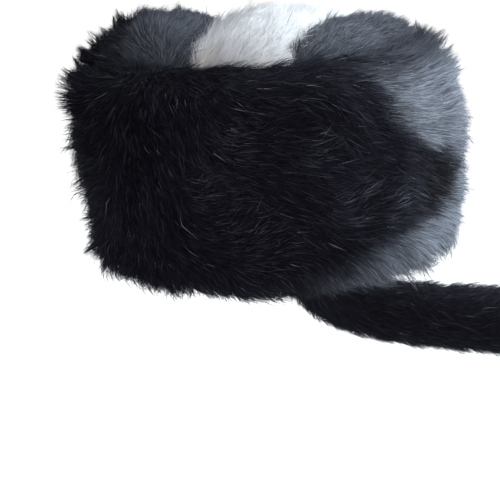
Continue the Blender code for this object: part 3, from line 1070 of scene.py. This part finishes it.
def stitches(material):
    """The whip stitches that join the strips of hide, as short bowed tubes of thread."""
    pairs = seam_stitches(hide_tree())
    starts, ends, bows = (np.array([list(pair[part]) for pair in pairs]) for part in range(3))
    shares = np.linspace(0, 1, THREAD_STEPS + 1)[None, :, None]
    arch = np.sin(math.pi * shares)
    bowed = STITCH_BOW * arch - THREAD_RADIUS * (1 - arch)
    line = starts[:, None] * (1 - shares) + ends[:, None] * shares + bows[:, None] * bowed
    count, steps = line.shape[:2]
    ahead = unit(np.gradient(line, axis=1).reshape(-1, 3))
    side = unit(np.cross(ahead, np.repeat(bows, steps, 0)))
    ways = around(side, np.cross(side, ahead), THREAD_SIDES)
    rings = [line.reshape(-1, 3) + THREAD_RADIUS * way for way in ways]
    points = np.stack(rings, 1).reshape(-1, 3)
    faces = []
    for step in range(steps - 1):
        for number in range(THREAD_SIDES):
            here, there = step * THREAD_SIDES, (step + 1) * THREAD_SIDES
            after = (number + 1) % THREAD_SIDES
            faces.append((here + number, there + number, there + after))
            faces.append((here + number, there + after, here + after))
    last = (steps - 1) * THREAD_SIDES
    for number in range(1, THREAD_SIDES - 1):
        faces.append((0, number, number + 1))
        faces.append((last, last + number + 1, last + number))
    size = steps * THREAD_SIDES
    faces = np.array(faces)[None] + size * np.arange(count)[:, None, None]
    item = mesh_object("seam_thread", points, faces.reshape(-1, 3), material)
    item.data.shade_smooth()
    return item


class Nodes:
    """A short way to make and join the nodes of one material or world."""

    def __init__(self, owner, shader="Principled BSDF"):
        """Takes a new material or world, and its shader's name."""
        owner.use_nodes = True
        self.material = owner
        self.tree = owner.node_tree
        self.shader = self.tree.nodes[shader]

    def add(self, kind, **settings):
        """A new node of a kind, with some of its settings."""
        node = self.tree.nodes.new(kind)
        for key, value in settings.items():
            setattr(node, key, value)
        return node

    def set(self, node, **values):
        """Sets a node's inputs, by name with underscores for spaces."""
        for name, value in values.items():
            node.inputs[name.replace("_", " ")].default_value = value

    def join(self, start, end):
        """Links an output to an input."""
        self.tree.links.new(start, end)

    def mix(self, share, low, high):
        """A colour mixed from two colours or sockets by a share or socket."""
        node = self.add("ShaderNodeMix", data_type="RGBA")
        for socket, value in ((node.inputs[0], share), (node.inputs[6], low), (node.inputs[7], high)):
            if isinstance(value, bpy.types.NodeSocket):
                self.join(value, socket)
            else:
                socket.default_value = (*value, 1.0)
        return node.outputs[2]

    def between(self, value, low, high, to_low=0.0, to_high=1.0):
        """A socket's value mapped from one range to another, and kept in it."""
        node = self.add("ShaderNodeMapRange")
        self.join(value, node.inputs[0])
        for index, number in enumerate((low, high, to_low, to_high), 1):
            node.inputs[index].default_value = number
        return node.outputs[0]

    def noise(self, scale, detail=3.0, roughness=0.5):
        """Noise in the object's space, as a socket."""
        place = self.add("ShaderNodeTexCoord")
        node = self.add("ShaderNodeTexNoise")
        self.set(node, Scale=scale, Detail=detail, Roughness=roughness)
        self.join(place.outputs["Object"], node.inputs["Vector"])
        return node.outputs["Fac"]

    def geometry(self, name):
        """Where the surface lies, or a number that differs from hair to hair."""
        return self.add("ShaderNodeNewGeometry").outputs[name]

    def layer(self, name):
        """The values of a layer of the mesh."""
        return self.add("ShaderNodeAttribute", attribute_name=name).outputs["Fac"]

    def measure(self, operation, place, other):
        """A place's distance from a point, or how far it lies along a way."""
        node = self.add("ShaderNodeVectorMath", operation=operation)
        self.join(place, node.inputs[0])
        node.inputs[1].default_value = other
        return node.outputs["Value"]

    def surface(self, colour, scale, smoothest, roughest):
        """The shader's colour, and a roughness between two values by noise of a scale."""
        self.join(colour, self.shader.inputs["Base Color"])
        rough = self.between(self.noise(scale), *NOISE_SPREAD, smoothest, roughest)
        self.join(rough, self.shader.inputs["Roughness"])

    def bump(self, height, strength, distance):
        """Small bumps of the surface, from a socket."""
        node = self.add("ShaderNodeBump")
        self.set(node, Strength=strength, Distance=distance)
        self.join(height, node.inputs["Height"])
        self.join(node.outputs["Normal"], self.shader.inputs["Normal"])


def dark_hair():
    """Black fur: brown-black to blue-black hairs, a few of them light, with painted sheen and painted
    shade.
    """
    n = Nodes(bpy.data.materials.new("dark_hair"))
    shade = n.between(n.geometry("Random Per Island"), 0.0, 0.9)
    colour = n.mix(shade, (0.007, 0.006, 0.010), (0.026, 0.024, 0.039))
    patch = n.between(n.noise(22.0), 0.42, 0.68, 0.0, 0.7)
    colour = n.mix(patch, colour, (0.009, 0.008, 0.013))
    place = n.geometry("Position")
    # Painted shade in the fold of the right side
    fold_shade = n.between(n.measure("DISTANCE", place, FOLD_SHADE_PLACE), 0.012, 0.034, 0.95, 0.0)
    colour = n.mix(fold_shade, colour, FOLD_PAINTED_SHADE)
    # Painted shade towards the upper left
    upper = n.measure("DOT_PRODUCT", place, SHADE_WAY)
    colour = n.mix(n.between(upper, *SHADE_FROM, 0.0, 0.60), colour, UPPER_LEFT_SHADE)
    # The tone layer lightens hairs: painted sheen on the band's right side and the crown's lobes, and a
    # few lighter hairs
    n.surface(n.mix(n.layer("tone"), colour, SHEEN_AND_LIGHT_HAIR), 70.0, 0.34, 0.52)
    n.set(n.shader, Sheen_Weight=0.04, Sheen_Roughness=0.30, Sheen_Tint=(*SHEEN_TINT, 1.0))
    n.set(n.shader, Specular_IOR_Level=0.04)
    return n.material


def pale_hair():
    """White fur, darker and warmer at its roots as painted shade, and yellow at one front corner."""
    n = Nodes(bpy.data.materials.new("pale_hair"))
    colour = n.mix(n.geometry("Random Per Island"), (0.84, 0.84, 0.83), (0.94, 0.94, 0.93))
    # Painted shade: the roots are darkened and warmed
    colour = n.mix(n.between(n.layer("along"), 0.0, 0.6, 0.18, 0.0), colour, (0.60, 0.56, 0.50))
    away = n.measure("DISTANCE", n.geometry("Position"), YELLOW_PATCH)
    yellow_share = n.between(away, 0.003, 0.015, 0.55, 0.0)
    colour = n.mix(yellow_share, colour, YELLOW_PATCH_COLOUR)
    n.surface(n.mix(n.layer("tone"), colour, (0.05, 0.05, 0.055)), 80.0, 0.45, 0.60)
    n.set(n.shader, Sheen_Weight=0.15)
    return n.material


def undercoat_finish(name, low, high, tint):
    """The dense wool under the hairs, streaked and rough."""
    n = Nodes(bpy.data.materials.new(name))
    colour = n.mix(n.between(n.noise(240.0, 6.0, 0.7), 0.35, 0.65), low, high)
    # The tone layer carries painted sheen on the band's right side and the crown's lobes
    n.surface(n.mix(n.layer("tone"), colour, SHEEN_AND_LIGHT_HAIR), 90.0, 0.75, 0.95)
    n.bump(n.noise(420.0, 4.0, 0.6), 0.6, 0.0015)
    n.set(n.shader, Sheen_Weight=0.04, Sheen_Roughness=0.35, Sheen_Tint=(*tint, 1.0))
    n.set(n.shader, Specular_IOR_Level=0.05)
    return n.material


def hide_finish():
    """The flesh side of tanned hide: buff, mottled, with a short nap."""
    n = Nodes(bpy.data.materials.new("hide_suede"))
    mottle = n.between(n.noise(28.0, 5.0, 0.6), 0.35, 0.68)
    colour = n.mix(mottle, (0.50, 0.40, 0.28), (0.66, 0.56, 0.43))
    specks = n.between(n.noise(300.0, 4.0, 0.7), 0.45, 0.75, 0.0, 0.45)
    n.surface(n.mix(specks, colour, (0.36, 0.27, 0.18)), 60.0, 0.78, 0.94)
    n.bump(n.noise(900.0, 6.0, 0.7), 0.5, 0.0006)
    n.set(n.shader, Sheen_Weight=0.2, Specular_IOR_Level=0.25)
    return n.material


def thread_finish():
    """Waxed linen thread, each stitch a little lighter or darker."""
    n = Nodes(bpy.data.materials.new("linen_thread"))
    colour = n.mix(n.geometry("Random Per Island"), (0.30, 0.22, 0.13), (0.46, 0.36, 0.23))
    specks = n.between(n.noise(1500.0), 0.4, 0.7, 0.0, 0.6)
    n.surface(n.mix(specks, colour, (0.18, 0.12, 0.07)), 400.0, 0.45, 0.65)
    return n.material


def aim(item, place, target):
    """Puts a light or camera at a place, looking at a target."""
    item.location = place
    item.rotation_euler = (Vector(target) - Vector(place)).to_track_quat("-Z", "Y").to_euler()


def camera():
    """The camera, placed so that the origin lies at its pixel of the photo."""
    turn, tilt, roll = (math.radians(x) for x in (CAMERA_TURN, CAMERA_TILT, CAMERA_ROLL))
    level = Vector((math.sin(turn), -math.cos(turn), 0.0))
    back = level * math.cos(tilt) + Vector((0.0, 0.0, math.sin(tilt)))
    right = (-back).cross(Vector((0.0, 0.0, 1.0))).normalized()
    up = right.cross(-back)
    across = right * math.cos(roll) - up * math.sin(roll)
    upright = up * math.cos(roll) + right * math.sin(roll)
    middle = PHOTO_SIDE / 2
    shift_x = (ORIGIN_PIXEL[0] - middle) / CAMERA_FOCAL * CAMERA_DISTANCE
    shift_y = (middle - ORIGIN_PIXEL[1]) / CAMERA_FOCAL * CAMERA_DISTANCE
    place = back * CAMERA_DISTANCE - across * shift_x - upright * shift_y
    data = bpy.data.cameras.new("camera")
    data.sensor_width = SENSOR
    data.lens = SENSOR * CAMERA_FOCAL / PHOTO_SIDE
    data.clip_start, data.clip_end = CAMERA_CLIP
    item = placed("camera", data)
    turned_to = Matrix((across, upright, back)).transposed().to_4x4()
    item.matrix_world = Matrix.Translation(place) @ turned_to
    bpy.context.scene.camera = item


def light(lamp):
    """A lamp of the studio, aimed at the cap."""
    data = bpy.data.lights.new(lamp.name, "AREA")
    data.shape = "DISK"
    data.size = lamp.size
    data.energy = lamp.power
    data.color = lamp.colour
    aim(placed(lamp.name, data), lamp.place, LAMPS_AIM)


def ground():
    """A pale floor that the camera sees as white."""
    n = Nodes(bpy.data.materials.new("floor"))
    n.set(n.shader, Base_Color=FLOOR_COLOUR, Roughness=FLOOR_ROUGHNESS, Emission_Color=(*WHITE, 1.0))
    seen = n.add("ShaderNodeLightPath").outputs["Is Camera Ray"]
    n.join(n.between(seen, 0.0, 1.0, 0.0, FLOOR_GLOW), n.shader.inputs["Emission Strength"])
    corners = FLOOR_REACH * np.array([(-1, -1), (1, -1), (1, 1), (-1, 1)])
    points = np.pad(corners, ((0, 0), (0, 1)), constant_values=FLOOR_HEIGHT)
    floor = mesh_object("floor", points, np.array([(0, 1, 2), (0, 2, 3)]), n.material)


def sky():
    """A surround that lights from the upper right, and that the camera sees as white."""
    world = bpy.data.worlds.new("studio")
    n = Nodes(world, "Background")
    n.set(n.shader, Color=(*WHITE, 1.0))
    toward = n.add("ShaderNodeTexCoord").outputs["Generated"]
    glow = n.between(n.measure("DOT_PRODUCT", toward, SKY_WAY), *SKY_SPREAD, *SKY_LIGHT)
    seen = n.add("ShaderNodeLightPath").outputs["Is Camera Ray"]
    strength = n.between(seen, 0.0, 1.0, 0.0, SKY_SEEN)
    n.join(glow, strength.node.inputs[3])
    n.join(strength, n.shader.inputs["Strength"])
    bpy.context.scene.world = world


def main():
    """The camera, the coats, the hide, the stitches and the studio."""
    camera()
    finishes = {"dark": dark_hair(), "pale": pale_hair()}
    wool = {
        "dark": undercoat_finish("dark_wool", (0.004, 0.004, 0.006), (0.016, 0.015, 0.020), SHEEN_TINT),
        "pale": undercoat_finish("pale_wool", (0.50, 0.47, 0.42), (0.72, 0.70, 0.66), WHITE),
    }
    suede = hide_finish()
    for name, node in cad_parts.items():
        if "hide" in name or name == "tail_tongue":
            for slot in node.material_slots:
                slot.material = suede
    chance = np.random.default_rng(SEED)
    for coat in COATS:
        base = undercoat(coat, wool[coat.finish])
        for item in [base, *grow(coat, base, finishes[coat.finish], chance)]:
            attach(item, "root")
            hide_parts(coat.node)
    thread = stitches(thread_finish())
    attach(thread, "root")
    ground()
    sky()
    for lamp in LAMPS:
        light(lamp)
    bpy.context.scene.view_settings.view_transform = "Standard"


main()
